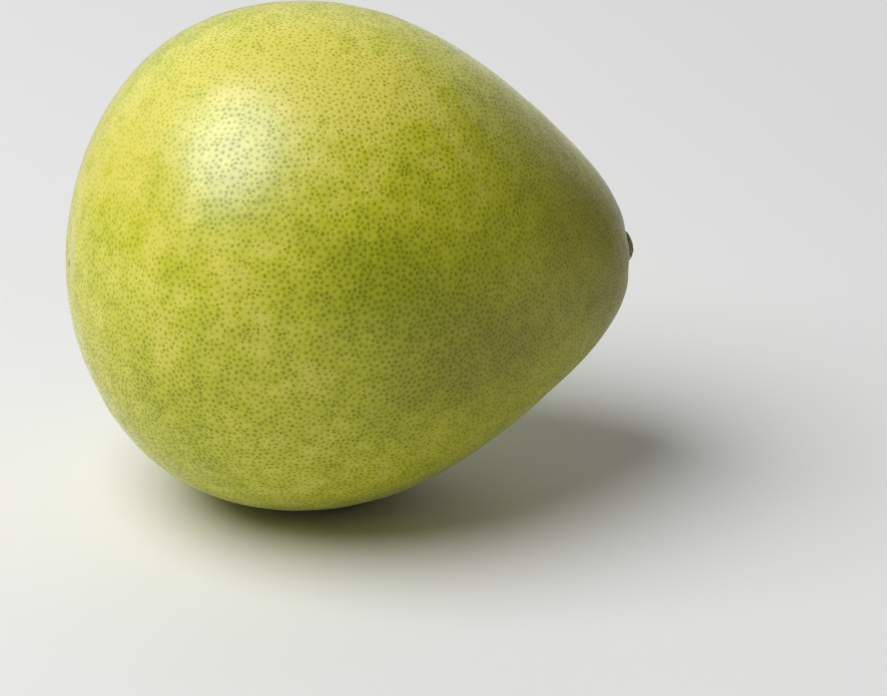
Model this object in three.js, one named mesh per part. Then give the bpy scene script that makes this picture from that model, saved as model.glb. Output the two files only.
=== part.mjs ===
// A whole ripe pomelo lying on its side, as picked: the fruit, the dried calyx that stays on it,
// and the stub of the clipped stalk.
//
// Millimetres, +Z up. The fruit's own axis runs from the blossom end (-X) to the stem end (+X).
// The origin is the middle of the small flat spot that the fruit rests on.
//
// The body is a pear curve turned about the fruit's axis. With t running from 0 at the stem end
// to PI at the blossom end, and c = cos t,
//   x = HALF_LENGTH * c
//   r = GIRTH_RADIUS * sin t * (1 + TAPER[0] c + TAPER[1] c^2 + ...)
// which is an ellipse whose radius is eased by a polynomial, so that one end draws out to a neck.

import * as THREE from "three";
import { mergeVertices } from "three/addons/utils/BufferGeometryUtils.js";

// ---- Fruit ----
const HALF_LENGTH = 84.7; // from mid-length to either tip, along the fruit's axis
const GIRTH_RADIUS = 76.2; // radius at mid-length
const TAPER = [-0.214, -0.119, -0.21, 0.047, 0.232]; // draws out the neck, blunts the blossom end
const BELLY_FLATTENING = 0.06; // share by which the underside is shallower than the back
const NOSE_DOWN = THREE.MathUtils.degToRad(3.6); // the neck end dips towards the table
const AXIS_HEIGHT = 71.2; // of mid-length above the table, so the belly is flat where it rests
const REST_TO_MIDDLE = 13.9; // from the rest spot to mid-length, along X

// The rind is never quite even: long, low swells run over it. Each is one wave along a direction.
const SWELL_HEIGHT = 0.22;
const SWELLS = [
  { along: new THREE.Vector3(2.6, 1.9, -1.1), phase: 0.4 },
  { along: new THREE.Vector3(-1.4, 2.8, 1.7), phase: 2.1 },
  { along: new THREE.Vector3(3.1, -1.2, 2.4), phase: 4.0 },
  { along: new THREE.Vector3(0.8, 3.3, -2.9), phase: 5.2 },
];

// The two ends sink in a little. t and phi place each one; phi is 0 on top and turns towards +Y.
const STEM_END = { t: 0.07, phi: 0, depth: 2, radius: 9 };
const BLOSSOM_END = { t: Math.PI - 0.03, phi: 0, depth: 0.9, radius: 8 };
const FURROWS = 7; // shallow folds that fan out from the stem end
const FURROW_DEPTH = 0.35;
const FURROW_REACH = 13; // where they are deepest, measured from the stalk

const RINGS = 58; // faces from tip to tip
const SECTORS = 72; // faces round the girth
const RING_CROWDING = 1.2; // above 1, the rings draw closer together at the stem end

// ---- Calyx and stalk ----
const GAP = 0.3; // between pieces that touch
const CALYX_RADIUS = 4.4;
const CALYX_RIM = 1.4; // thickness at its edge
const CALYX_HEIGHT = 2.8; // thickness where it meets the stalk
const SEPALS = 5;
const SEPAL_REACH = 0.08; // share by which each sepal's tip stands out past the mean edge
const STALK_RADIUS = 2.1;
const STALK_ROOT = 1.2; // how deep the stalk is rooted in the calyx
const STALK_PROUD = 0.4; // how far its cut end stands out of the calyx
const STALK_BEVEL = 0.25;

const RIND = new THREE.MeshStandardMaterial({ color: 0xa9ad3a, roughness: 0.42, metalness: 0 });
const DRIED_CALYX = new THREE.MeshStandardMaterial({ color: 0x5b5137, roughness: 0.9, metalness: 0 });
const CUT_WOOD = new THREE.MeshStandardMaterial({ color: 0x8a7657, roughness: 0.95, metalness: 0 });

// Radius of the body about its own axis, before the belly is flattened.
function pearRadius(t) {
  const c = Math.cos(t);
  const ease = TAPER.reduce((sum, k, i) => sum + k * c ** (i + 1), 1);
  return GIRTH_RADIUS * Math.sin(t) * ease;
}

// A point of the plump body in the fruit's own frame, before its ends sink in.
function plumpPoint(t, phi) {
  const underside = (1 - Math.cos(phi)) / 2;
  const r = pearRadius(t) * (1 - BELLY_FLATTENING * underside ** 2);
  const point = new THREE.Vector3(HALF_LENGTH * Math.cos(t), r * Math.sin(phi), r * Math.cos(phi));
  const way = point.clone().divideScalar(HALF_LENGTH);
  const waves = SWELLS.reduce((sum, swell) => sum + Math.sin(swell.along.dot(way) + swell.phase), 0);
  return point.addScaledVector(way, SWELL_HEIGHT * waves);
}

// Where an end's dimple is centred, and the outward normal there.
function seatOf(end) {
  const step = 0.01;
  const alongT = plumpPoint(end.t + step, end.phi).sub(plumpPoint(end.t - step, end.phi));
  const alongPhi = plumpPoint(end.t, end.phi + step).sub(plumpPoint(end.t, end.phi - step));
  const normal = alongPhi.cross(alongT).normalize();
  return { centre: plumpPoint(end.t, end.phi), normal };
}

const STEM_SEAT = seatOf(STEM_END);
const BLOSSOM_SEAT = seatOf(BLOSSOM_END);

// A point of the finished rind in the fruit's own frame.
function rindPoint(t, phi) {
  const point = plumpPoint(t, phi);
  const fromStem = point.distanceTo(STEM_SEAT.centre);
  const fromBlossom = point.distanceTo(BLOSSOM_SEAT.centre);
  const stemDip = STEM_END.depth * Math.exp(-((fromStem / STEM_END.radius) ** 2));
  const blossomDip = BLOSSOM_END.depth * Math.exp(-((fromBlossom / BLOSSOM_END.radius) ** 2));

  const spread = (fromStem / FURROW_REACH) ** 2;
  const turn = Math.atan2(point.y, point.z - STEM_SEAT.centre.z);
  const fold = 0.5 + 0.5 * Math.cos(FURROWS * turn);
  const furrow = FURROW_DEPTH * fold * spread ** 2 * Math.exp(2 * (1 - spread));

  return point
    .addScaledVector(STEM_SEAT.normal, -stemDip - furrow)
    .addScaledVector(BLOSSOM_SEAT.normal, -blossomDip);
}

// A closed geometry with its shared vertices merged and no other attribute than position.
function closed(geometry) {
  geometry.deleteAttribute("normal");
  geometry.deleteAttribute("uv");
  const merged = mergeVertices(geometry, 1e-3);
  merged.computeVertexNormals();
  return merged;
}

// The fruit: a sphere's grid moved onto the rind. The sphere's own pole axis (+Y) becomes the stem end.
function fruitGeometry() {
  const geometry = new THREE.SphereGeometry(1, SECTORS, RINGS);
  const position = geometry.attributes.position;
  const way = new THREE.Vector3();
  for (let i = 0; i < position.count; i++) {
    way.fromBufferAttribute(position, i);
    const fromPole = Math.acos(THREE.MathUtils.clamp(way.y, -1, 1)) / Math.PI;
    const t = Math.PI * fromPole ** RING_CROWDING;
    const point = rindPoint(t, Math.atan2(way.z, way.x));
    // Into the row frame: the nose dips, and the belly is flat where it meets the table.
    point.applyAxisAngle(new THREE.Vector3(0, 1, 0), NOSE_DOWN);
    point.x += REST_TO_MIDDLE;
    point.z = Math.max(point.z + AXIS_HEIGHT, 0);
    position.setXYZ(i, point.x, point.y, point.z);
  }
  return closed(geometry);
}

// The calyx stands on the XY plane: a low dome of five blunt sepals, with a socket for the stalk.
function calyxGeometry() {
  const socket = STALK_RADIUS + GAP;
  const outline = [new THREE.Vector2(0, 0), new THREE.Vector2(CALYX_RADIUS * 0.94, 0)];
  const steps = 7;
  for (let i = 0; i <= steps; i++) {
    const turn = (i / steps) * (Math.PI / 2);
    outline.push(
      new THREE.Vector2(
        socket + (CALYX_RADIUS - socket) * Math.cos(turn),
        CALYX_RIM + (CALYX_HEIGHT - CALYX_RIM) * Math.sin(turn),
      ),
    );
  }
  const floor = CALYX_HEIGHT - STALK_ROOT - GAP;
  outline.push(new THREE.Vector2(socket, floor), new THREE.Vector2(0, floor));
  const geometry = new THREE.LatheGeometry(outline, 60).rotateX(Math.PI / 2);
  const position = geometry.attributes.position;
  for (let i = 0; i < position.count; i++) {
    const [x, y, z] = [position.getX(i), position.getY(i), position.getZ(i)];
    const outwards = THREE.MathUtils.clamp((Math.hypot(x, y) - socket) / (CALYX_RADIUS - socket), 0, 1);
    const grow = 1 + SEPAL_REACH * outwards * Math.cos(SEPALS * Math.atan2(y, x));
    position.setXYZ(i, x * grow, y * grow, z);
  }
  return closed(geometry);
}

// The stalk's stub stands on the XY plane, its cut end a little bevelled.
function stalkGeometry() {
  const height = STALK_ROOT + STALK_PROUD;
  const outline = [
    new THREE.Vector2(0, 0),
    new THREE.Vector2(STALK_RADIUS, 0),
    new THREE.Vector2(STALK_RADIUS, height - STALK_BEVEL),
    new THREE.Vector2(STALK_RADIUS - STALK_BEVEL, height),
    new THREE.Vector2(0, height),
  ];
  return closed(new THREE.LatheGeometry(outline, 30).rotateX(Math.PI / 2));
}

function named(name, geometry, material) {
  const mesh = new THREE.Mesh(geometry, material);
  mesh.name = name;
  return mesh;
}

const fruit = named("fruit", fruitGeometry(), RIND);

// The stem end's own frame, with +Z out of the rind. The calyx sits in the bottom of the dimple.
const stemEnd = new THREE.Group();
const calyx = named("calyx", calyxGeometry(), DRIED_CALYX);
const stalk = named("stalk_stub", stalkGeometry(), CUT_WOOD);
calyx.position.z = GAP - STEM_END.depth;
stalk.position.z = calyx.position.z + CALYX_HEIGHT - STALK_ROOT;
stemEnd.position.copy(STEM_SEAT.centre);
stemEnd.quaternion.setFromUnitVectors(new THREE.Vector3(0, 0, 1), STEM_SEAT.normal);
stemEnd.add(calyx, stalk);

const lying = new THREE.Group();
lying.rotation.y = NOSE_DOWN;
lying.position.set(REST_TO_MIDDLE, 0, AXIS_HEIGHT);
lying.add(stemEnd);

const pomelo = new THREE.Group();
pomelo.add(fruit, lying);

export default pomelo;
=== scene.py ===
"""A whole pomelo lying on its side: its pitted rind, the dried calyx and the stub of the stalk.

Laid out as a Blender add-on and run as a script. Everything is in metres, in the frame of the
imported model: +X towards the stem end, +Z up, and the origin in the middle of the flat spot that
the fruit rests on.
"""

import math
import bpy
import numpy as np
from bpy.props import FloatProperty, FloatVectorProperty, IntProperty, PointerProperty
from mathutils import Matrix, Vector
from mathutils.geometry import delaunay_2d_cdt


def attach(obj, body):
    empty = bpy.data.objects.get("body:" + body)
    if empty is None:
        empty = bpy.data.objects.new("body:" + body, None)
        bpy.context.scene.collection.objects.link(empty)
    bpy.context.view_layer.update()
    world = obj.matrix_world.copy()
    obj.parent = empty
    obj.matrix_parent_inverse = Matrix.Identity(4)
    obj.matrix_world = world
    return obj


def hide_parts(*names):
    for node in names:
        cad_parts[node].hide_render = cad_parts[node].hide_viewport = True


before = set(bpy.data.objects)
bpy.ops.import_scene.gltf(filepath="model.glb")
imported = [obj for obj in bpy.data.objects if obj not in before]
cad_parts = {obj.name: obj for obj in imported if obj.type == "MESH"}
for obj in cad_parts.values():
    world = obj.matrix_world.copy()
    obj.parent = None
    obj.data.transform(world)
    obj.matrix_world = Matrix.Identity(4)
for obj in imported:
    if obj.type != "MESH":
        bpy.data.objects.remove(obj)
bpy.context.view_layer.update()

bl_info = {
    "name": "Pomelo",
    "version": (1, 0, 0),
    "blender": (4, 5, 0),
    "location": "View3D > Sidebar > Pomelo",
    "description": "Builds a whole pomelo around its packed model, with its lights and camera",
    "category": "Add Mesh",
}

SENSOR_WIDTH = 36  # of the camera, in millimetres
FARTHEST_SEEN = 50  # by the camera
FULL_TURN = 2 * math.pi
QUARTER_TURN = math.pi / 2
GOLDEN_TURN = math.pi * (3 - math.sqrt(5))
HEX_CELL = math.sqrt(3) / 2  # area of a hexagonal cell whose neighbours are one unit away
SMALL_STEP = 0.01  # for slopes taken by differences, in radians
NEAR_ZERO = 1e-6  # keeps clear of the poles, where every ring shrinks to a point


# ---- Sizes and colours ----


def metres(name, default, description):
    """A setting that is a length."""
    return FloatProperty(name=name, description=description, default=default, unit="LENGTH")


def degrees(name, default, description):
    """A setting that is an angle, given in degrees and kept in radians."""
    kept = math.radians(default)
    return FloatProperty(name=name, description=description, default=kept, unit="ROTATION")


def fraction(name, default, description):
    """A setting that is a share of something."""
    return FloatProperty(name=name, description=description, default=default, subtype="FACTOR")


def number(name, default, description):
    """A setting that is a plain number."""
    return FloatProperty(name=name, description=description, default=default)


def pigment(name, default, description):
    """A setting that is a colour, given as red, green and blue."""
    kept = (*default, 1)
    return FloatVectorProperty(
        name=name, description=description, default=kept, size=4, subtype="COLOR"
    )


class FruitSizes(bpy.types.PropertyGroup):
    """The pear shape of the fruit and the relief of its rind."""

    half_length: metres("Half length", 0.0847, "From mid-length to either tip, along the axis")
    girth_radius: metres("Girth radius", 0.0762, "Radius at mid-length")
    taper: FloatVectorProperty(
        name="Taper",
        description="Shares by which the radius is eased, for each power of the place on the axis",
        default=(-0.214, -0.119, -0.21, 0.047, 0.232),
        size=5,
    )
    belly_flattening: fraction(
        "Belly flattening", 0.06, "Share by which the underside is shallower than the back"
    )
    nose_down: degrees("Nose down", 3.6, "How far the stem end dips towards the table")
    axis_height: metres("Axis height", 0.0712, "Height of mid-length above the table")
    rest_to_middle: metres("Rest to middle", 0.0139, "From the rest spot to mid-length, along X")
    rest_rounding: metres("Rest rounding", 0.0006, "How softly the flat spot meets the belly")
    swell_height: metres("Swell height", 0.00022, "Height of each long swell over the rind")
    ripple_height: metres("Ripple height", 0.00007, "Height of the ripples that break the sheen")
    gland_spacing: metres("Gland spacing", 0.00186, "From one oil gland to the next")
    gland_crowding: fraction(
        "Gland crowding", 0.3, "Share by which the glands draw closer together at the stem end"
    )
    gland_scatter: fraction(
        "Gland scatter", 0.36, "How far the glands stray, as a share of their spacing"
    )
    gland_depth: metres("Gland depth", 0.00009, "How deep a gland's pit is")
    seed: IntProperty(name="Seed", description="Start of every random draw", default=7)


class RindColours(bpy.types.PropertyGroup):
    """The pigments of the rind."""

    ripe: pigment("Ripe yellow", (0.775, 0.71, 0.105), "Where the rind has turned")
    turning: pigment("Turning", (0.59, 0.605, 0.014), "Between ripe and green")
    unripe: pigment("Unripe green", (0.42, 0.460, 0.004), "Where the rind is still green")
    # Partly the neck's own dull tinge, partly painted shade and painted warm reflected light.
    olive: pigment("Olive", (0.33, 0.305, 0.004), "The dull, warm tinge, mostly of the neck")
    cork: pigment("Cork", (0.30, 0.21, 0.10), "Healed scars")
    waxy: pigment("Waxy skin", (0.70, 0.67, 0.110), "The paler skin between the glands")
    gland: pigment("Oil gland", (0.53, 0.55, 0.01), "Multiplies the skin's colour over a gland")


class StemSizes(bpy.types.PropertyGroup):
    """The calyx and the stub of the stalk."""

    calyx_radius: metres("Calyx radius", 0.0046, "Mean radius of the calyx")
    calyx_height: metres("Calyx height", 0.0028, "Thickness of the calyx where it meets the stalk")
    calyx_rim: metres("Calyx rim", 0.0012, "Height of the sepals' edge above the calyx's underside")
    calyx_lift: metres(
        "Calyx lift", 0.0001, "From the bottom of the rind's dimple to the calyx's underside"
    )
    sepals: IntProperty(name="Sepals", description="Lobes of the calyx", default=5)
    stalk_radius: metres("Stalk radius", 0.0022, "Radius of the stub")
    stalk_root: metres("Stalk root", 0.0012, "How deep the stub is rooted in the calyx")
    stalk_lift: metres("Stalk lift", 0.0002, "From the socket's floor to the stub's foot")
    stalk_proud: metres("Stalk proud", 0.0004, "How far the stub's cut end stands out of the calyx")


class StageSettings(bpy.types.PropertyGroup):
    """The floor, the lights and the camera."""

    camera_azimuth: degrees(
        "Camera azimuth", -12, "Turn of the camera round the fruit, from looking along +Y"
    )
    camera_elevation: degrees("Camera elevation", 21, "How far the camera looks down")
    camera_distance: metres("Camera distance", 1.2, "From the fruit's middle to the camera")
    view_width: metres("View width", 0.2634, "Width of the view at the fruit")
    aim_right: metres("Aim right", 0.0277, "How far right of the fruit's middle the camera looks")
    aim_up: metres("Aim up", -0.0257, "How far above the fruit's middle the camera looks")
    key_azimuth: degrees("Key azimuth", -77.5, "Turn of the key light, measured as the camera's is")
    key_elevation: degrees("Key elevation", 57.4, "How high the key light stands")
    key_distance: metres("Key distance", 2.0, "From the fruit's middle to the key light")
    key_power: number("Key power", 48, "Power of the key light, in watts")
    key_width: metres("Key width", 2.15, "Width of the key light, which is an ellipse")
    key_height: metres("Key height", 1.86, "Height of the key light")
    backdrop_azimuth: degrees(
        "Backdrop azimuth", 166, "Turn of the lit backdrop, measured as the camera's is"
    )
    backdrop_elevation: degrees("Backdrop elevation", 18, "How high the lit backdrop stands")
    backdrop_distance: metres("Backdrop distance", 1.6, "From the fruit's middle to the backdrop")
    backdrop_width: metres("Backdrop width", 3.2, "Width of the lit backdrop")
    backdrop_height: metres("Backdrop height", 1.3, "Height of the lit backdrop")
    backdrop_power: number("Backdrop power", 10.0, "Power of the lit backdrop, in watts")
    sky: number("Fill", 0.11, "Strength of the soft light from all round")
    backcloth: number("Backcloth", 0.74, "Brightness of the pale backcloth behind the floor")
    floor_near: metres("Floor's near edge", 0.50, "Where the floor begins to run out")
    floor_far: metres("Floor's far edge", 1.5, "Where the floor has run out")
    floor_colour: pigment("Floor", (0.80, 0.80, 0.80), "Colour of the floor")


# The two ends sink in a little. t runs from 0 at the stem end to pi at the blossom end, and phi
# from 0 on top towards +Y.
STEM_END = {"t": 0.07, "phi": 0.0, "depth": 0.002, "radius": 0.009}
BLOSSOM_END = {"t": math.pi - 0.03, "phi": 0.0, "depth": 0.0009, "radius": 0.008}
FURROWS = 7  # shallow folds that fan out from the stem end
FURROW_DEPTH = 0.00035
FURROW_REACH = 0.013  # where they are deepest, measured from the stalk

# Long swells: one wave along each direction, with its phase.
SWELLS = np.array(
    [
        (2.6, 1.9, -1.1, 0.4),
        (-1.4, 2.8, 1.7, 2.1),
        (3.1, -1.2, 2.4, 4.0),
        (0.8, 3.3, -2.9, 5.2),
    ]
)


# ---- The shape of the fruit ----


def unit(vectors):
    """Each vector divided by its length."""
    return vectors / np.linalg.norm(vectors, axis=-1, keepdims=True)


def pear_radius(fruit, t):
    """r = girth_radius sin t (1 + k1 c + k2 c^2 + ... + k5 c^5), with c = cos t and k the taper."""
    ease = np.polynomial.polynomial.polyval(np.cos(t), (1, *fruit.taper))
    return fruit.girth_radius * np.sin(t) * ease


def plump_point(fruit, t, phi):
    """x = half_length cos t, y = r sin phi and z = r cos phi, where the pear's r is less by its
    share belly_flattening s^2, with s = (1 - cos phi) / 2. The point then moves along its own
    direction by swell_height times the sum of the sines of the long waves there."""
    underside = (1 - np.cos(phi)) / 2
    r = pear_radius(fruit, t) * (1 - fruit.belly_flattening * underside**2)
    point = np.stack((fruit.half_length * np.cos(t), r * np.sin(phi), r * np.cos(phi)), axis=-1)
    way = point / fruit.half_length
    waves = np.sin(way @ SWELLS[:, :3].T + SWELLS[:, 3]).sum(axis=-1)
    return point + way * (fruit.swell_height * waves)[..., None]


def seat_of(fruit, end):
    """The middle of an end's dimple and the outward normal there, from differences in t and phi."""
    t, phi = end["t"], end["phi"]
    along = plump_point(fruit, t + SMALL_STEP, phi) - plump_point(fruit, t - SMALL_STEP, phi)
    around = plump_point(fruit, t, phi + SMALL_STEP) - plump_point(fruit, t, phi - SMALL_STEP)
    return plump_point(fruit, t, phi), unit(np.cross(around, along))


def dip(end, apart):
    """How deep an end's dimple is at a distance d from its seat: depth exp(-(d / radius)^2)."""
    return end["depth"] * np.exp(-((apart / end["radius"]) ** 2))


def rind_point(fruit, t, phi):
    """The plump point, moved inwards along each seat's normal by that end's dimple, and at the stem
    end by the furrows too: FURROW_DEPTH (1 + cos(FURROWS a)) / 2 times s^2 exp(2 - 2 s), with a the
    angle round the stalk, d the distance from it and s = (d / FURROW_REACH)^2."""
    point = plump_point(fruit, t, phi)
    stem_seat, stem_normal = seat_of(fruit, STEM_END)
    blossom_seat, blossom_normal = seat_of(fruit, BLOSSOM_END)
    from_stem = np.linalg.norm(point - stem_seat, axis=-1)
    from_blossom = np.linalg.norm(point - blossom_seat, axis=-1)
    spread = (from_stem / FURROW_REACH) ** 2
    turn = np.arctan2(point[..., 1], point[..., 2] - stem_seat[2])
    fold = 0.5 + 0.5 * np.cos(FURROWS * turn)
    furrow = FURROW_DEPTH * fold * spread**2 * np.exp(2 * (1 - spread))
    at_stem = dip(STEM_END, from_stem) + furrow
    at_blossom = dip(BLOSSOM_END, from_blossom)
    return point - at_stem[..., None] * stem_normal - at_blossom[..., None] * blossom_normal


def lying(fruit):
    """The matrix that lays the fruit down on the table: its nose dips, and its middle is lifted."""
    turn = Matrix.Rotation(fruit.nose_down, 4, "Y")
    return Matrix.Translation((fruit.rest_to_middle, 0, fruit.axis_height)) @ turn


def placed(matrix, points):
    """The points moved by a 4 by 4 matrix."""
    matrix = np.array(matrix)
    return points @ matrix[:3, :3].T + matrix[:3, 3]


def rested(fruit, points):
    """The points with z = (z + sqrt(z^2 + rounding^2)) / 2, which flattens softly what would go
    into the table."""
    z = points[..., 2]
    flat = (z + np.sqrt(z**2 + fruit.rest_rounding**2)) / 2
    return np.concatenate((points[..., :2], flat[..., None]), axis=-1)


# ---- Oil glands and the cells of rind round them ----

NECK_REACH = 0.6  # how far the glands' crowding reaches, as a share of the half length
HULL = 0  # the triangulation fills its points' outline
SAME_POINT = 1e-9  # points nearer than this would be made one
SETTLING_ROUNDS = 3
SETTLING_SHARE = 0.6  # how much of the way to its neighbours' mean a gland moves in a round
RIPPLE_LENGTHS = (0.012, 0.030)  # the shortest and the longest
MOSTLY_ALONG_X = 0.9  # a normal with more X than this takes +Y as its guide
PIT_SIZES = (0.6, 1.25)  # the least and the most, as shares of the gland depth
CORNER_RISE = 0.2  # how much the corners between the glands stand up, as a share of that depth


class Girths:
    """Tables along the fruit from the stem end (t = 0) to the blossom end (t = pi).

    latitude is the sum of ds / r, with ds a step along the outline. A map of the rind on which one
    unit of latitude is as long as one radian round the girth keeps its angles, and
    colatitude = 2 atan(exp(latitude)) puts that map on a sphere. glands counts the oil glands from
    the stem end: the sum of 2 pi r ds over the area of one gland's cell.
    """

    def __init__(self, fruit, steps=6000):
        self.t = np.linspace(0, math.pi, steps + 1)
        self.r = r = pear_radius(fruit, self.t)
        step = np.hypot(np.diff(fruit.half_length * np.cos(self.t)), np.diff(r))
        middle_r = (r[1:] + r[:-1]) / 2
        latitude = np.concatenate(([0], np.cumsum(step / middle_r)))
        self.latitude = latitude - latitude[steps // 2]
        from_stem = np.concatenate(([0], np.cumsum(step)))
        neck = np.exp(-((from_stem / (NECK_REACH * fruit.half_length)) ** 2))
        self.spacing = fruit.gland_spacing * (1 - fruit.gland_crowding * neck)
        cell = HEX_CELL * ((self.spacing[1:] + self.spacing[:-1]) / 2) ** 2
        self.glands = np.concatenate(([0], np.cumsum(FULL_TURN * middle_r * step / cell)))

    def on_sphere(self, t, phi):
        """The angle-keeping map of the rind onto a unit sphere, with the stem end at +Z."""
        colatitude = 2 * np.arctan(np.exp(np.interp(t, self.t, self.latitude)))
        ring = np.sin(colatitude)
        return np.stack((ring * np.cos(phi), ring * np.sin(phi), np.cos(colatitude)), axis=-1)

    def on_rind(self, ball):
        """t and phi of points on that sphere."""
        colatitude = np.arctan2(np.hypot(ball[:, 0], ball[:, 1]), ball[:, 2])
        latitude = np.log(np.tan(np.clip(colatitude, NEAR_ZERO, math.pi - NEAR_ZERO) / 2))
        return np.interp(latitude, self.latitude, self.t), np.arctan2(ball[:, 1], ball[:, 0])


def triangulated(ball):
    """Delaunay triangles of points on a sphere, whose last point is the pole at -Z.

    The map (x, y) / (1 + z) from that pole turns circles into circles, so a flat triangulation of
    the mapped points is the sphere's, and the pole joins its outer edges."""
    pole = len(ball) - 1
    flat = ball[:-1, :2] / (1 + ball[:-1, 2:])
    mapped = [Vector(point) for point in flat.tolist()]
    inner = np.array(delaunay_2d_cdt(mapped, [], [], HULL, SAME_POINT)[2])
    edges = directed_edges(inner)
    outer = edges[twins(edges, len(ball)) < 0]
    cap = np.column_stack((outer[:, 1], outer[:, 0], np.full(len(outer), pole)))
    return np.concatenate((inner, cap))


def directed_edges(triangles):
    """The three edges of each triangle, in order, as rows of start and end."""
    return np.stack((triangles, np.roll(triangles, -1, axis=1)), axis=-1).reshape(-1, 2)


def twins(edges, count):
    """For each directed edge, the index of the one that runs the other way, or -1."""
    key = edges[:, 0] * count + edges[:, 1]
    wanted = edges[:, 1] * count + edges[:, 0]
    order = np.argsort(key)
    found = order[np.minimum(np.searchsorted(key, wanted, sorter=order), len(key) - 1)]
    return np.where(key[found] == wanted, found, -1)


def scattered_glands(fruit, girths, rng):
    """The glands as points on the sphere, and the triangles between them.

    They start on a spiral that turns by the golden angle at each gland, which spreads them evenly
    over the rind. They stray at random, and then settle in rounds: in each, every gland moves some
    of the way to the mean of its neighbours."""
    count = int(girths.glands[-1]) - 1
    t = np.interp(np.arange(count) + 0.5, girths.glands, girths.t)
    ball = girths.on_sphere(t, np.arange(count) * GOLDEN_TURN)
    girth = np.maximum(np.interp(t, girths.t, girths.r), NEAR_ZERO)
    shrink = np.hypot(ball[:, 0], ball[:, 1]) / girth
    stray = np.interp(t, girths.t, girths.spacing) * fruit.gland_scatter * shrink
    ball = unit(ball + rng.normal(size=ball.shape) * stray[:, None])
    ball = np.concatenate((ball, [(0, 0, -1)]))
    for _ in range(SETTLING_ROUNDS):
        start, end = directed_edges(triangulated(ball)).T
        total = np.stack([np.bincount(start, ball[end, axis]) for axis in range(3)], axis=1)
        mean = total / np.bincount(start)[:, None]
        ball[:-1] = unit(ball[:-1] + SETTLING_SHARE * (mean[:-1] - ball[:-1]))
    return ball, triangulated(ball)


def cell_faces(triangles, count):
    """Triangles that fan out from each gland to the corners of its cell.

    Corner k is the middle of triangle k, and the edge from gland a to gland b gives the face of a,
    the corner on its left and the corner on its right. That order points outwards on the rind,
    because the sphere is a mirrored map of it."""
    edges = directed_edges(triangles)
    left = np.arange(len(edges)) // 3
    right = twins(edges, count) // 3
    return np.column_stack((edges[:, 0], count + left, count + right))


def filled_mesh(name, points, faces):
    """A smooth shaded mesh, filled from arrays. Every face has as many corners."""
    mesh = bpy.data.meshes.new(name)
    mesh.vertices.add(len(points))
    mesh.vertices.foreach_set("co", points.astype(np.float32).ravel())
    mesh.loops.add(faces.size)
    mesh.loops.foreach_set("vertex_index", faces.astype(np.int32).ravel())
    mesh.polygons.add(len(faces))
    starts = np.arange(0, faces.size, faces.shape[1], dtype=np.int32)
    mesh.polygons.foreach_set("loop_start", starts)
    mesh.polygons.foreach_set("use_smooth", np.ones(len(faces), dtype=bool))
    mesh.update(calc_edges=True)
    mesh.validate()
    return mesh


def vertex_normals(mesh):
    """The mesh's vertex normals as an array."""
    normals = np.empty(len(mesh.vertices) * 3, dtype=np.float32)
    mesh.vertex_normals.foreach_get("vector", normals)
    return normals.reshape(-1, 3).astype(float)


def ripples(points, rng, count=14):
    """The sum of count sine waves over space, each of a random direction and length, over the
    square root of count."""
    ways = unit(rng.normal(size=(count, 3))) * FULL_TURN / rng.uniform(*RIPPLE_LENGTHS, (count, 1))
    phases = rng.uniform(0, FULL_TURN, count)
    return np.sin(points @ ways.T + phases).sum(axis=1) / math.sqrt(count)


def tangents(normals):
    """Two unit vectors square to each normal and to each other."""
    along_x = np.abs(normals[:, :1]) >= MOSTLY_ALONG_X
    steady = np.where(along_x, (0.0, 1.0, 0.0), (1.0, 0.0, 0.0))
    first = unit(np.cross(normals, steady))
    return first, np.cross(normals, first)


# Patches of the rind that are greener (above 0) or yellower (below 0) than the rest: the middle of
# each in metres, how far it reaches, and by how much.
GREEN_BASE = 0.5  # between the patches
GREEN_PATCHES = np.array(
    [
        (-0.014, -0.028, 0.143, 0.026, -0.48),
        (0.007, -0.040, 0.138, 0.024, -0.34),
        (0.025, -0.036, 0.138, 0.016, -0.14),
        (-0.061, -0.011, 0.110, 0.030, -0.12),
        (-0.049, -0.031, 0.120, 0.024, -0.36),
        (-0.070, -0.006, 0.077, 0.034, -0.12),
        (-0.045, -0.058, 0.095, 0.022, -0.14),
        # These two rows are painted darkening where the key light's highlight falls, which keeps
        # the highlight from reading too bright.
        (-0.028, -0.047, 0.129, 0.023, 0.38),
        (-0.028, -0.042, 0.134, 0.016, 0.08),
        (0.003, -0.057, 0.125, 0.014, -0.18),
        (0.019, -0.055, 0.124, 0.011, 0.24),
        (-0.012, -0.064, 0.110, 0.012, -0.16),
        (-0.058, -0.032, 0.099, 0.014, 0.22),
        (0.025, -0.021, 0.142, 0.018, 0.08),
        (0.052, -0.033, 0.121, 0.018, 0.12),
        (0.010, -0.072, 0.092, 0.020, 0.42),
        (0.030, -0.071, 0.072, 0.024, 0.24),
        (0.095, 0.000, 0.075, 0.036, 0.50),
    ]
)

# Where the rind is dulled to a warm olive, in the same way: partly the neck's own tinge, and partly
# painted shade and painted warm reflected light over the lower side and the neck.
OLIVE_AND_SHADE_PATCHES = np.array(
    [
        # Painted darkening where the key light's highlight falls, which keeps the highlight from
        # reading too bright.
        (-0.028, -0.046, 0.131, 0.024, 0.12),
        (0.059, -0.053, 0.066, 0.030, 0.45),
        (0.032, -0.069, 0.058, 0.028, 0.52),
        (0.085, -0.030, 0.070, 0.026, 0.45),
        (0.055, -0.030, 0.119, 0.022, 0.45),
        (0.074, -0.024, 0.104, 0.022, 0.45),
        (0.094, -0.010, 0.078, 0.030, 0.65),
        (0.097, -0.014, 0.060, 0.020, 0.35),
    ]
)

# Where the coat is glossier: set where the key light's highlight falls, so that it strengthens that
# highlight.
HIGHLIGHT_GLOSS_PATCHES = np.array(
    [
        (-0.034, -0.051, 0.121, 0.036, 0.64),
        (-0.030, -0.015, 0.130, 0.070, 0.35),
    ]
)

# Corky spots: the scar of the blossom, and two faint marks on the back.
CORK_PATCHES = np.array(
    [
        (-0.0702, 0.0010, 0.0765, 0.0020, 0.9),
        (-0.052, 0.050, 0.080, 0.0020, 0.8),
        (0.020, 0.060, 0.035, 0.0024, 0.8),
    ]
)

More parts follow.
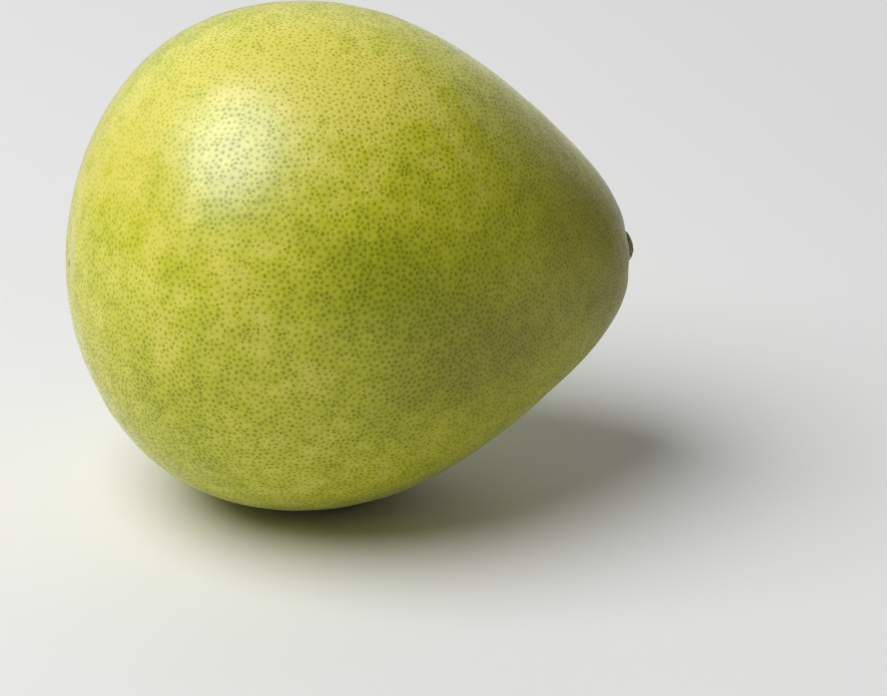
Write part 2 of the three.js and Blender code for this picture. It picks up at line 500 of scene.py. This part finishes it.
# Where the glands are fainter: the neck, the blossom end and two stretches of the side.
FAINT_PATCHES = np.array(
    [
        (0.097, 0.000, 0.078, 0.040, 0.72),
        (0.070, -0.020, 0.108, 0.025, 0.30),
        (-0.036, -0.050, 0.118, 0.030, 0.20),
        (0.040, -0.063, 0.075, 0.035, 0.30),
        (-0.066, -0.014, 0.112, 0.045, 0.50),
    ]
)

TINGES = {
    "green": GREEN_PATCHES,
    "olive": OLIVE_AND_SHADE_PATCHES,
    "cork": CORK_PATCHES,
    "faint": FAINT_PATCHES,
    "shine": HIGHLIGHT_GLOSS_PATCHES,
}


def patched(points, patches):
    """The sum over the patches of amount exp(-(d / reach)^2), with d the distance to a middle."""
    middle, reach, amount = patches[:, :3], patches[:, 3], patches[:, 4]
    apart = np.linalg.norm(points[:, None, :] - middle[None], axis=2)
    return (amount * np.exp(-((apart / reach) ** 2))).sum(axis=1)


def rind_mesh(fruit):
    """The rind as one closed mesh: a cell round each gland, with its middle pressed in as the pit.

    Its UV map holds each corner's offset from its own gland, in gland spacings, so that a pattern
    round every gland can be drawn from the distance alone."""
    rng = np.random.default_rng(fruit.seed)
    girths = Girths(fruit)
    ball, triangles = scattered_glands(fruit, girths, rng)
    count = len(ball)
    corners = unit(ball[triangles].mean(axis=1))
    t, phi = girths.on_rind(np.concatenate((ball, corners)))
    points = placed(lying(fruit), rind_point(fruit, t, phi))
    faces = cell_faces(triangles, count)
    mesh = filled_mesh("rind", rested(fruit, points), faces)

    normals = vertex_normals(mesh)
    size = rng.uniform(*PIT_SIZES, count)
    relief = fruit.ripple_height * ripples(points, rng)
    depth = fruit.gland_depth * (1 - patched(points, FAINT_PATCHES))
    relief[:count] -= depth[:count] * size
    relief[count:] += CORNER_RISE * depth[count:]
    pitted = rested(fruit, points + relief[:, None] * normals)
    mesh.vertices.foreach_set("co", pitted.astype(np.float32).ravel())
    mesh.update()

    across, along = tangents(normals[:count])
    own = faces[:, 0]
    offsets = points[faces] - points[own][:, None, :]
    spacing = np.interp(t[:count], girths.t, girths.spacing)[own][:, None]
    flat = [(offsets * way[own][:, None, :]).sum(axis=2) / spacing for way in (across, along)]
    flat = np.stack(flat, axis=-1)
    mesh.uv_layers.new(name="gland").uv.foreach_set("vector", flat.astype(np.float32).ravel())
    draw = mesh.attributes.new("gland_draw", "FLOAT", "FACE")
    draw.data.foreach_set("value", rng.uniform(0, 1, count)[own].astype(np.float32))
    for name, patches in TINGES.items():
        tinge = mesh.attributes.new(name, "FLOAT", "POINT")
        tinge.data.foreach_set("value", patched(points, patches).astype(np.float32))
    return mesh


# ---- The calyx and the stalk ----

# The calyx. Heights and depths are in metres.
CALYX_COLUMNS = 240
SOCKET_ROWS = 3
DOME_ROWS = 26
RIM_ROWS = 7
SOCKET_PRESS = 0.00008  # by how much the socket's radius is less than the stub's
FLOOR_RING = 0.6  # radius of the ring inside the socket's floor, as a share of the socket's
BASE_RING = 0.4  # radius of the ring inside the underside, as a share of the calyx's
DOME_FULLNESS = 0.65  # below 1, the dome's shoulder is fuller
RIM_TUCK = 0.12  # share by which the rim draws in at its foot
SEPAL_REACH = 0.22  # share of the radius by which the tips pass the hollows between them
SEPAL_MIDDLE = 0.45  # share of that reach at which the radius is the calyx's own
SEPAL_POINT = 1.4  # the lower, the more pointed the tips
EDGE_RAGGEDNESS = 0.02
GROOVE_WIDTH = 0.22  # of the cosine that is 0 at a groove
GROOVE_DEPTH = 0.00035
LIP_WIDTH = 0.2  # as a share of the way from the socket to the edge
LIP_HEIGHT = 0.00022
LUMP_HEIGHT = 0.00009
WRINKLE_HEIGHT = 0.00006

# The stub of the stalk. Radii are shares of its own, and heights are in metres.
STALK_COLUMNS = 160
FACE_ROWS = 22
BEVEL_ROWS = 5
BARK_ROWS = 6
FACE_RADIUS = 0.93
BEVEL_DROP = 0.00022
BARK_RADII = (1.03, 1.2)  # just under the bevel, and at the foot
BARK_DROP = 0.0004  # from the cut face to the top of the bark
FOOT_RING = 0.5  # radius of the ring inside the foot
BARK_RIDGES = 0.030
BARK_BULGES = 0.060
PITH_RADIUS = 0.22
PITH_DEPTH = 0.00025
BLADE_SCORES = 34  # radians of the wave that the blade leaves from the middle to the edge
BLADE_SWAY = 3  # how far that wave shifts round the axis, in radians
BLADE_SCORE_HEIGHT = 0.00004
FACE_ROUGHNESS = 0.00006
CUT_TILT = 0.00026
CUT_TILT_TURN = 0.7
CUT_TILT_REACH = 0.0005  # how far below the cut face the tilt still counts


def stem_matrix(fruit, lift):
    """The stem end's own frame, with +Z out of the rind, lifted from the bottom of the dimple."""
    seat, normal = seat_of(fruit, STEM_END)
    turn = Vector((0, 0, 1)).rotation_difference(Vector(normal)).to_matrix().to_4x4()
    raised = Matrix.Translation((0, 0, lift - STEM_END["depth"]))
    return lying(fruit) @ Matrix.Translation(seat) @ turn @ raised


def turned(name, radius, height, around, matrix, vein):
    """A closed mesh from a profile carried round an axis.

    radius and height are arrays of rows along the profile and columns round the axis. The first
    and last rows lie on the axis, and each is one point. The UV map holds the share of the way
    round the axis and along the profile, and vein is a number for each column, kept as an
    attribute."""
    rows, columns = radius.shape
    ring = np.stack((radius * np.cos(around), radius * np.sin(around), height), axis=-1)
    inner = ring[1:-1].reshape(-1, 3)
    points = np.concatenate((ring[:1].mean(axis=1), inner, ring[-1:].mean(axis=1)))
    index = 1 + np.arange(len(inner)).reshape(rows - 2, columns)
    after = np.roll(index, -1, axis=1)
    last = len(points) - 1
    quads = np.stack((index[:-1], index[1:], after[1:], after[:-1]), axis=-1).reshape(-1, 4)
    top = np.column_stack((np.zeros(columns, int), index[0], after[0]))
    bottom = np.column_stack((np.full(columns, last), after[-1], index[-1]))
    faces = np.concatenate((top, quads[:, [0, 1, 2]], quads[:, [0, 2, 3]], bottom))
    mesh = filled_mesh(name, placed(matrix, points), faces)

    share = np.concatenate(([0], np.repeat(np.arange(1, rows - 1) / (rows - 1), columns), [1]))
    turn = np.concatenate(([0], np.tile(np.arange(columns) / columns, rows - 2), [0]))
    at = np.stack((turn[faces], share[faces]), axis=-1)
    crosses = (np.ptp(at[..., 0], axis=1) > 0.5)[:, None] & (at[..., 0] < 0.5)
    at[..., 0] += crosses
    mesh.uv_layers.new(name="turn").uv.foreach_set("vector", at.astype(np.float32).ravel())
    veins = np.concatenate(([0], np.tile(vein, rows - 2), [0]))
    attribute = mesh.attributes.new("vein", "FLOAT", "POINT")
    attribute.data.foreach_set("value", veins.astype(np.float32))
    return mesh


def turns(columns):
    """The angles of evenly spaced columns round an axis."""
    return np.arange(columns) * FULL_TURN / columns


def rough_ring(around, rng, lowest, highest):
    """The sum of a sine wave round the axis for each number of waves from lowest up to highest,
    each with a random phase, over the square root of how many there are."""
    numbers = np.arange(lowest, highest)
    phases = rng.uniform(0, FULL_TURN, len(numbers))
    waves = np.sin(np.multiply.outer(around, numbers) + phases)
    return waves.sum(axis=-1) / math.sqrt(len(numbers))


def calyx_mesh(fruit, stem):
    """A low dome of pointed sepals round a socket.

    The profile runs from the middle of the socket's floor up its wall, over the lip, out over the
    dome, under the rim and back to the axis. With o the share of the way from the socket to the
    edge, the radius grows by SEPAL_REACH (1 - |sin(n a / 2)|^SEPAL_POINT - SEPAL_MIDDLE) o^3, for
    n sepals. The dome has a groove between each two sepals, soft lumps, fine wrinkles that run
    outwards, and a torn lip."""
    rng = np.random.default_rng(fruit.seed + 1)
    around = turns(CALYX_COLUMNS)
    socket = stem.stalk_radius - SOCKET_PRESS
    floor = stem.calyx_height - stem.stalk_root
    dome = np.linspace(0, QUARTER_TURN, DOME_ROWS)
    under = np.linspace(0, QUARTER_TURN, RIM_ROWS + 1)[1:]
    out = np.concatenate((np.sin(dome), 1 - RIM_TUCK * np.sin(under)))
    crown = stem.calyx_rim + (stem.calyx_height - stem.calyx_rim) * np.cos(dome) ** DOME_FULLNESS
    wall = socket + (stem.calyx_radius - socket) * out
    base_ring = stem.calyx_radius * BASE_RING
    base_radius = np.concatenate(([0, socket * FLOOR_RING, socket], wall, [base_ring, 0]))
    rim = stem.calyx_rim * np.cos(under)
    base_height = np.concatenate(([floor] * SOCKET_ROWS, crown, rim, [0, 0]))
    outwards = np.concatenate(([0] * SOCKET_ROWS, out, [BASE_RING, 0]))[:, None]
    row = np.arange(len(base_height))[:, None]
    on_top = (row >= SOCKET_ROWS) & (row < SOCKET_ROWS + DOME_ROWS)

    between = np.abs(np.sin(stem.sepals * around / 2))
    tips = 1 - between**SEPAL_POINT
    ragged = EDGE_RAGGEDNESS * rough_ring(around, rng, 3, 17)
    edge = SEPAL_REACH * (tips - SEPAL_MIDDLE) + ragged
    radius = base_radius[:, None] * (1 + edge * outwards**3)

    groove = np.exp(-((np.cos(stem.sepals * around / 2) / GROOVE_WIDTH) ** 2))
    groove = groove * outwards * np.sin(math.pi * outwards) ** 0.5
    wrinkle = rough_ring(around, rng, 20, 70) * outwards * (1 - outwards**8)
    lumps = rough_ring(around, rng, 2, 9) * np.sin(math.pi * outwards)
    lip = rough_ring(around, rng, 2, 13) * np.exp(-((outwards / LIP_WIDTH) ** 2))
    relief = WRINKLE_HEIGHT * wrinkle + LUMP_HEIGHT * lumps + LIP_HEIGHT * lip
    height = base_height[:, None] + (relief - GROOVE_DEPTH * groove) * on_top
    matrix = stem_matrix(fruit, stem.calyx_lift)
    vein = rough_ring(around, rng, 16, 70)
    return turned("dried_calyx", radius, height, around, matrix, vein)


def stalk_mesh(fruit, stem):
    """A short round stub: a rough cut face, a bevelled edge, and bark that spreads to the foot.

    The radius is modulated by ridges and bulges round the axis. The cut face is tilted a little,
    is lowered at the pith in its middle, and is scored by the blade."""
    rng = np.random.default_rng(fruit.seed + 2)
    around = turns(STALK_COLUMNS)
    top = stem.stalk_root + stem.stalk_proud
    bevel = np.arange(1, BEVEL_ROWS + 1) / BEVEL_ROWS * QUARTER_TURN
    face_radius = np.linspace(0, FACE_RADIUS, FACE_ROWS)
    bevel_radius = FACE_RADIUS + (1 - FACE_RADIUS) * np.sin(bevel)
    bark_radius = np.linspace(*BARK_RADII, BARK_ROWS)
    share = np.concatenate((face_radius, bevel_radius, bark_radius, [FOOT_RING, 0]))[:, None]
    bevel_drop = BEVEL_DROP * (1 - np.cos(bevel))
    bark_drop = np.linspace(BARK_DROP, top, BARK_ROWS)
    drop = np.concatenate((np.zeros(FACE_ROWS), bevel_drop, bark_drop, [top, top]))[:, None]
    on_face = np.arange(len(share))[:, None] < FACE_ROWS

    ridges = BARK_RIDGES * rough_ring(around, rng, 5, 24)
    ridges = ridges + BARK_BULGES * rough_ring(around, rng, 2, 5)
    radius = stem.stalk_radius * share * (1 + ridges * share**2)
    pith = PITH_DEPTH * np.exp(-((share / PITH_RADIUS) ** 2))
    scores = BLADE_SCORE_HEIGHT * np.sin(share * BLADE_SCORES + BLADE_SWAY * np.cos(around))
    scores = scores + FACE_ROUGHNESS * rough_ring(around, rng, 2, 12) * share
    tilt = CUT_TILT * share * np.cos(around - CUT_TILT_TURN)
    height = top - drop + on_face * (scores - pith) + tilt * (drop < CUT_TILT_REACH)
    foot = stem.calyx_lift + stem.calyx_height - stem.stalk_root + stem.stalk_lift
    vein = rough_ring(around, rng, 12, 50)
    return turned("cut_stalk", radius, height, around, stem_matrix(fruit, foot), vein)


# ---- Materials ----


class Value:
    """A number in a shader. Arithmetic on it adds Math nodes."""

    def __init__(self, shader, socket):
        self.shader = shader
        self.socket = socket

    def math(self, operation, *terms):
        sockets = dict(enumerate(terms))
        node = self.shader.node("ShaderNodeMath", {"operation": operation}, sockets)
        return Value(self.shader, node.outputs[0])

    def __add__(self, other):
        return self.math("ADD", self, other)

    def __radd__(self, other):
        return self.math("ADD", other, self)

    def __sub__(self, other):
        return self.math("SUBTRACT", self, other)

    def __rsub__(self, other):
        return self.math("SUBTRACT", other, self)

    def __mul__(self, other):
        return self.math("MULTIPLY", self, other)

    def __rmul__(self, other):
        return self.math("MULTIPLY", other, self)

    def swing(self, reach):
        """A number from 0 to 1, turned into one that swings round 0 by up to half of reach."""
        return (self - 0.5) * reach


class Nodes:
    """The nodes of a tree."""

    def __init__(self, tree):
        self.tree = tree

    def node(self, kind, settings=None, sockets=None):
        """Adds a node: first its settings, where a ramp's stops are a list of places and colours,
        and then the values or links of its sockets."""
        node = self.tree.nodes.new(kind)
        for name, setting in (settings or {}).items():
            if name == "stops":
                while len(node.color_ramp.elements) < len(setting):
                    node.color_ramp.elements.new(1)
                for element, (place, colour) in zip(node.color_ramp.elements, setting):
                    element.position = place
                    element.color = colour
            else:
                setattr(node, name, setting)
        self.wire(node, sockets or {})
        return node

    def wire(self, node, sockets):
        """Sets or links each named or numbered socket of a node."""
        for name, value in sockets.items():
            value = value.socket if isinstance(value, Value) else value
            if isinstance(value, bpy.types.NodeSocket):
                self.tree.links.new(value, node.inputs[name])
            else:
                node.inputs[name].default_value = value


class Shader(Nodes):
    """A material and its nodes."""

    def __init__(self, name):
        self.material = bpy.data.materials.new(name)
        self.material.use_nodes = True
        super().__init__(self.material.node_tree)
        self.surface = self.tree.nodes["Principled BSDF"]
        self.object_place = self.node("ShaderNodeTexCoord").outputs["Object"]

    def noise(self, size, detail=3.0, roughness=0.5):
        """Noise around 0.5, with features about size metres across."""
        look = {"Scale": 1 / size, "Detail": detail, "Roughness": roughness}
        node = self.node("ShaderNodeTexNoise", {}, {"Vector": self.object_place, **look})
        return Value(self, node.outputs["Fac"])

    def ease(self, value, over, ends=(0.0, 1.0)):
        """From one of the ends to the other as the value goes over a range, smoothly."""
        limits = zip(("From Min", "From Max", "To Min", "To Max"), (*over, *ends))
        sockets = {"Value": value, **dict(limits)}
        node = self.node("ShaderNodeMapRange", {"interpolation_type": "SMOOTHSTEP"}, sockets)
        return Value(self, node.outputs[0])

    def blend(self, share, first, second, how="MIX"):
        """The first colour turned into the second by a share."""
        settings = {"data_type": "RGBA", "blend_type": how}
        return self.node("ShaderNodeMix", settings, {0: share, 6: first, 7: second}).outputs[2]

    def ramp(self, share, stops):
        """The colour at a share along a ramp of places and colours."""
        return self.node("ShaderNodeValToRGB", {"stops": stops}, {"Fac": share}).outputs["Color"]

    def attribute(self, name):
        """A number stored on the mesh."""
        node = self.node("ShaderNodeAttribute", {"attribute_name": name})
        return Value(self, node.outputs["Fac"])

    def bump(self, height):
        """The normal of a surface whose height, in metres, is given."""
        sockets = {"Height": height, "Strength": 1.0, "Distance": 1.0}
        return self.node("ShaderNodeBump", {}, sockets).outputs["Normal"]


# A gland's drawing, in gland spacings from its middle.
GLAND_EDGE = 0.185
GLAND_EDGE_SPREAD = 0.08  # from the smallest gland to the largest
GLAND_BLUR = 0.15  # half the width of the edge
GLAND_RAGGEDNESS = 0.42
HALO_EDGES = (0.12, 0.60)
PIT_EDGE = 0.5
DRAWN_DEPTH = 0.8  # of the pit that shading adds, as a share of the gland's depth

# How large the rind's clouds and grains are, in metres.
CLOUD_SIZE = 0.030
MOTTLE_SIZE = 0.0075
FLECK_SIZE = 0.0035
SPECK_SIZE = 0.0010
GRAIN_SIZE = 0.0007

# Relief that only shading shows, from the lowest to the highest, in metres.
GRAIN_HEIGHT = 0.00007
FLECK_HEIGHT = 0.00014
MOTTLE_HEIGHT = 0.00045
BLOTCH_HEIGHT = 0.0002
FIBRE_HEIGHT = 0.0001
VEIN_HEIGHT = 0.00003
WOOD_HEIGHT = 0.00012

# How far light runs under the skin, in metres, for red, green and blue.
LIGHT_REACH = (0.0012, 0.001, 0.0004)

SEPAL_BROWNS = [
    (0.3, (0.11, 0.075, 0.032, 1)),
    (0.5, (0.33, 0.255, 0.13, 1)),
    (0.72, (0.56, 0.46, 0.27, 1)),
]
WOOD_BROWNS = [
    (0.3, (0.20, 0.14, 0.07, 1)),
    (0.55, (0.42, 0.32, 0.18, 1)),
    (0.8, (0.62, 0.50, 0.32, 1)),
]
BARK_BROWNS = [(0.3, (0.10, 0.07, 0.035, 1)), (0.7, (0.36, 0.28, 0.15, 1))]
WHITE = (1, 1, 1, 1)


def rind_material(colours, fruit):
    """A waxy rind: yellow clouded with green, and a dark green oil gland amid each cell."""
    shader = Shader("rind")
    offset = shader.node("ShaderNodeUVMap", {"uv_map": "gland"}).outputs["UV"]
    length = shader.node("ShaderNodeVectorMath", {"operation": "LENGTH"}, {0: offset})
    grain = shader.noise(GRAIN_SIZE, detail=2)
    from_gland = Value(shader, length.outputs["Value"]) + grain.swing(GLAND_RAGGEDNESS)
    draw = shader.attribute("gland_draw")

    # How green the skin is: 0 is ripe and 1 is unripe.
    tinge = GREEN_BASE + shader.attribute("green")
    cloud = shader.noise(CLOUD_SIZE, detail=5, roughness=0.6)
    mottle = shader.noise(MOTTLE_SIZE, detail=3, roughness=0.6)
    fleck = shader.noise(FLECK_SIZE, detail=3, roughness=0.6)
    patchy = shader.ease(tinge, (0.45, 0.75), (0.80, 0.55))
    green = tinge + cloud.swing(0.7) + mottle.swing(patchy) + draw.swing(0.12)
    ripening = [(0.15, colours.ripe), (0.5, colours.turning), (0.95, colours.unripe)]
    skin = shader.ramp(green, ripening)

    # Away from the glands the skin is waxier, and most so where it is ripe.
    waxy = shader.ease(fleck + (from_gland - 0.4) * 0.5, (0.42, 0.70))
    waxy = waxy * shader.ease(green, (0.1, 0.9), (0.45, 0.12))
    skin = shader.blend(waxy, skin, colours.waxy)
    # Olive: partly real tinge, partly painted shade and painted warm reflected light.
    olive = shader.attribute("olive") * (1 + cloud.swing(1.2))
    skin = shader.blend(olive, skin, colours.olive)

    # Each gland is a dark dot in a halo, with specks between them.
    edge = GLAND_EDGE + draw.swing(GLAND_EDGE_SPREAD)
    dot = shader.ease(from_gland - edge, (-GLAND_BLUR, GLAND_BLUR), (1, 0))
    halo = shader.ease(from_gland, HALO_EDGES, (1, 0))
    plain = 1 - shader.attribute("faint")
    strength = shader.ease(green, (0.15, 0.75), (0.96, 0.86)) * plain * (0.70 + draw * 0.42)
    speck = shader.ease(shader.noise(SPECK_SIZE, detail=1), (0.58, 0.72)) * plain * 0.22
    spread = shader.ease(green + fleck.swing(0.8), (0.30, 0.85), (0.08, 0.50))
    darkness = dot * strength + (1 - dot * strength) * (halo * spread + speck)
    colour = shader.blend(darkness, skin, colours.gland, "MULTIPLY")
    cork = shader.ease(shader.attribute("cork") + fleck.swing(0.9), (0.35, 0.75))
    colour = shader.blend(cork, colour, colours.cork)

    pit = shader.ease(from_gland, (0.0, PIT_EDGE), (-1, 0))
    height = pit * plain * (DRAWN_DEPTH * fruit.gland_depth)
    height = height + grain.swing(GRAIN_HEIGHT) + fleck.swing(FLECK_HEIGHT)
    height = height + mottle.swing(MOTTLE_HEIGHT)
    shader.wire(
        shader.surface,
        {
            "Base Color": colour,
            "Roughness": 0.47 + mottle.swing(0.12) + dot * 0.2,
            "Normal": shader.bump(height),
            "Specular IOR Level": 0.25,
            "Subsurface Weight": 0.06,
            "Subsurface Radius": LIGHT_REACH,
            "Subsurface Scale": 1.0,
            # The coat is glossier where the key light's highlight falls, and less so over the
            # glands.
            "Coat Weight": (0.15 + shader.attribute("shine")) * (1 - 0.42 * dot),
            "Coat Roughness": 0.35,
            "Coat IOR": 1.8,
            "Sheen Weight": 0.58,
            "Sheen Roughness": 0.22,
        },
    )
    return shader.material


def calyx_material():
    """Dried, corky sepals: grey-brown, with veins that run outwards."""
    shader = Shader("dried_calyx")
    blotch = shader.noise(0.0016, detail=5, roughness=0.65)
    fibre = shader.noise(0.0004, detail=3)
    vein = shader.attribute("vein")
    colour = shader.ramp(blotch + fibre.swing(0.4) + vein * 0.05, SEPAL_BROWNS)
    height = fibre.swing(FIBRE_HEIGHT) + blotch.swing(BLOTCH_HEIGHT) + vein * VEIN_HEIGHT
    shader.wire(
        shader.surface,
        {
            "Base Color": colour,
            "Roughness": 0.8 + fibre.swing(0.2),
            "Normal": shader.bump(height),
        },
    )
    return shader.material


def stalk_material():
    """Cut wood: pale, mottled end grain, and dark, streaked bark round it."""
    shader = Shader("cut_wood")
    place = shader.node("ShaderNodeUVMap", {"uv_map": "turn"}).outputs["UV"]
    parts = shader.node("ShaderNodeSeparateXYZ", {}, {0: place})
    along = Value(shader, parts.outputs["Y"])
    fibre = shader.noise(0.0003, detail=4, roughness=0.7)
    wood = shader.ramp(fibre + shader.noise(0.0015).swing(0.6), WOOD_BROWNS)
    bark = shader.ramp(fibre + shader.attribute("vein") * 0.06, BARK_BROWNS)
    on_bark = shader.ease(along + fibre.swing(0.35), (0.44, 0.60))
    shader.wire(
        shader.surface,
        {
            "Base Color": shader.blend(on_bark, wood, bark),
            "Roughness": 0.85 + fibre.swing(0.2),
            "Normal": shader.bump(fibre.swing(WOOD_HEIGHT)),
        },
    )
    return shader.material


def floor_material(colour, near, far):
    """A plain, pale floor that thins out between two distances from its middle."""
    shader = Shader("floor")
    grain = shader.noise(0.02, detail=2)
    length = shader.node("ShaderNodeVectorMath", {"operation": "LENGTH"}, {0: shader.object_place})
    shader.wire(
        shader.surface,
        {
            "Base Color": shader.blend(grain.swing(0.02), colour, WHITE),
            "Roughness": 0.6,
            "Specular IOR Level": 0.3,
            "Alpha": shader.ease(length.outputs["Value"], (near, far), (1, 0)),
        },
    )
    return shader.material


# ---- Operators ----


def add_piece(mesh, material, node):
    """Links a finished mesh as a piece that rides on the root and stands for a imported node."""
    mesh.materials.append(material)
    piece = bpy.data.objects.new(mesh.name, mesh)
    bpy.context.scene.collection.objects.link(piece)
    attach(piece, "root")
    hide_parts(node)


class POMELO_OT_rind(bpy.types.Operator):
    """Grow the fruit's pitted rind"""

    bl_idname = "pomelo.rind"
    bl_label = "Grow the rind"

    def execute(self, context):
        fruit = context.scene.pomelo_fruit
        colours = context.scene.pomelo_colours
        add_piece(rind_mesh(fruit), rind_material(colours, fruit), "fruit")
        return {"FINISHED"}


class POMELO_OT_stem(bpy.types.Operator):
    """Set the calyx and the stub of the stalk into the stem end"""

    bl_idname = "pomelo.stem"
    bl_label = "Add the calyx and stalk"

    def execute(self, context):
        fruit = context.scene.pomelo_fruit
        stem = context.scene.pomelo_stem
        add_piece(calyx_mesh(fruit, stem), calyx_material(), "calyx")
        add_piece(stalk_mesh(fruit, stem), stalk_material(), "stalk_stub")
        return {"FINISHED"}


def axes_of_view(azimuth, elevation):
    """Right, up and back of a camera that looks along +Y at azimuth 0, turned and looking down."""
    right = Vector((math.cos(azimuth), math.sin(azimuth), 0))
    level_back = Vector((math.sin(azimuth), -math.cos(azimuth), 0))
    back = math.cos(elevation) * level_back + Vector((0, 0, math.sin(elevation)))
    return right, back.cross(right), back


def add_softbox(name, shape, place, way, size, power):
    """An area light of a width and height, whose back is turned along a way."""
    light = bpy.data.lights.new(name, "AREA")
    light.shape = shape
    light.size, light.size_y = size
    light.energy = power
    lamp = bpy.data.objects.new(name, light)
    bpy.context.scene.collection.objects.link(lamp)
    lamp.location = place
    lamp.rotation_euler = way.to_track_quat("Z", "Y").to_euler()


def add_floor(scene, stage):
    """A square of floor that the backcloth takes over from."""
    half = stage.floor_far
    corners = np.array([(-half, -half, 0), (half, -half, 0), (half, half, 0), (-half, half, 0)])
    mesh = filled_mesh("floor", corners, np.array([(0, 1, 2, 3)]))
    mesh.materials.append(floor_material(stage.floor_colour, stage.floor_near, stage.floor_far))
    floor = bpy.data.objects.new("floor", mesh)
    scene.collection.objects.link(floor)


def add_lamps(stage, middle):
    """The key light and the lit backdrop, both facing the fruit's middle."""
    way = axes_of_view(stage.key_azimuth, stage.key_elevation)[2]
    size = (stage.key_width, stage.key_height)
    add_softbox("key", "ELLIPSE", middle + stage.key_distance * way, way, size, stage.key_power)
    way = axes_of_view(stage.backdrop_azimuth, stage.backdrop_elevation)[2]
    size = (stage.backdrop_width, stage.backdrop_height)
    place = middle + stage.backdrop_distance * way
    add_softbox("backdrop", "RECTANGLE", place, way, size, stage.backdrop_power)


def add_surround(scene, stage):
    """Soft light from all round, behind which the camera sees the pale backcloth."""
    scene.world = scene.world or bpy.data.worlds.new("surround")
    scene.world.use_nodes = True
    surround = Nodes(scene.world.node_tree)
    seen = Value(surround, surround.node("ShaderNodeLightPath").outputs["Is Camera Ray"])
    strength = stage.sky + seen * (stage.backcloth - stage.sky)
    surround.wire(surround.tree.nodes["Background"], {"Color": WHITE, "Strength": strength})


def add_camera(scene, stage, middle):
    """The camera, whose lens takes in the view's width at the fruit's distance."""
    right, up, back = axes_of_view(stage.camera_azimuth, stage.camera_elevation)
    aim = middle + stage.aim_right * right + stage.aim_up * up
    camera = bpy.data.objects.new("camera", bpy.data.cameras.new("camera"))
    scene.collection.objects.link(camera)
    camera.data.sensor_width = SENSOR_WIDTH
    camera.data.lens = SENSOR_WIDTH * stage.camera_distance / stage.view_width
    camera.data.clip_end = FARTHEST_SEEN
    camera.location = aim + stage.camera_distance * back
    camera.rotation_euler = Matrix((right, up, back)).transposed().to_euler()
    scene.camera = camera


class POMELO_OT_stage(bpy.types.Operator):
    """Lay the floor, set up the lights and aim the camera"""

    bl_idname = "pomelo.stage"
    bl_label = "Set the stage"

    def execute(self, context):
        scene = context.scene
        stage = scene.pomelo_stage
        fruit = scene.pomelo_fruit
        middle = Vector((fruit.rest_to_middle, 0, fruit.axis_height))
        add_floor(scene, stage)
        add_lamps(stage, middle)
        add_surround(scene, stage)
        scene.view_settings.view_transform = "Standard"
        add_camera(scene, stage, middle)
        return {"FINISHED"}


class POMELO_PT_parts(bpy.types.Panel):
    """Buttons for the pomelo's pieces and its stage"""

    bl_idname = "POMELO_PT_parts"
    bl_label = "Pomelo"
    bl_space_type = "VIEW_3D"
    bl_region_type = "UI"
    bl_category = "Pomelo"

    def draw(self, context):
        for operator in OPERATORS:
            self.layout.operator(operator.bl_idname)


OPERATORS = (POMELO_OT_rind, POMELO_OT_stem, POMELO_OT_stage)
SETTINGS = {
    "pomelo_fruit": FruitSizes,
    "pomelo_colours": RindColours,
    "pomelo_stem": StemSizes,
    "pomelo_stage": StageSettings,
}
CLASSES = (*SETTINGS.values(), *OPERATORS, POMELO_PT_parts)


def register():
    for kind in CLASSES:
        bpy.utils.register_class(kind)
    for name, group in SETTINGS.items():
        setattr(bpy.types.Scene, name, PointerProperty(type=group))


def unregister():
    for name in SETTINGS:
        delattr(bpy.types.Scene, name)
    for kind in reversed(CLASSES):
        bpy.utils.unregister_class(kind)


def main():
    register()
    bpy.ops.pomelo.rind()
    bpy.ops.pomelo.stem()
    bpy.ops.pomelo.stage()


if __name__ == "__main__":
    main()
